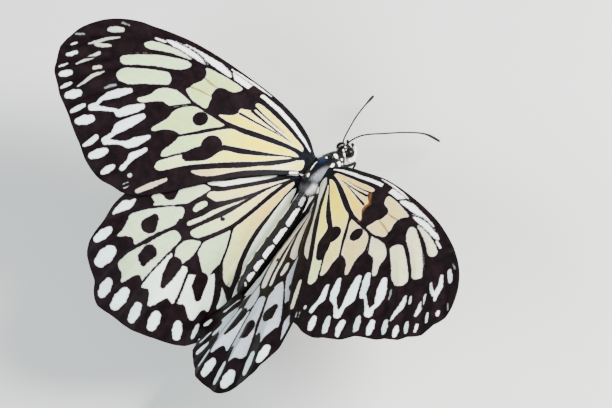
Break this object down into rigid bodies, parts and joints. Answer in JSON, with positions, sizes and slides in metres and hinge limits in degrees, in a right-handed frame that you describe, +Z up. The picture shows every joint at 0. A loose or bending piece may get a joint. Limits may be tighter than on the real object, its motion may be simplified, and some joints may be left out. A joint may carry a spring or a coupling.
{
  "type": "paper kite butterfly",
  "caption": "Still life-size paper kite butterfly with half-raised white and black wings, standing on its thin legs with its feelers held forward.",
  "frame": {"origin": "on the floor, under the middle of the whole model's bounding box", "axes": "+Z up from the floor; the head faces -Y and the abdomen's tip +Y; +X towards the butterfly's own left"},
  "size_m": [0.1382, 0.0836, 0.0426],
  "materials": {
    "wing_scales": "soft satin",
    "body_black": "matt",
    "eye_brown": "gloss",
    "palp_white": "matt",
    "abdomen_grey": "matt"
  },
  "bodies": {
    "root": {"head": "body_black", "eye_left": "eye_brown", "eye_right": "eye_brown", "antenna_left": "body_black", "antenna_right": "body_black", "palp_left": "palp_white", "palp_right": "palp_white", "proboscis": "body_black", "thorax": "body_black", "abdomen": "abdomen_grey", "forewing_left": "wing_scales", "forewing_right": "wing_scales", "hindwing_left": "wing_scales", "hindwing_right": "wing_scales", "foreleg_left": "body_black", "foreleg_right": "body_black", "midleg_left": "body_black", "midleg_right": "body_black", "hindleg_left": "body_black", "hindleg_right": "body_black"}
  },
  "joints": []
}
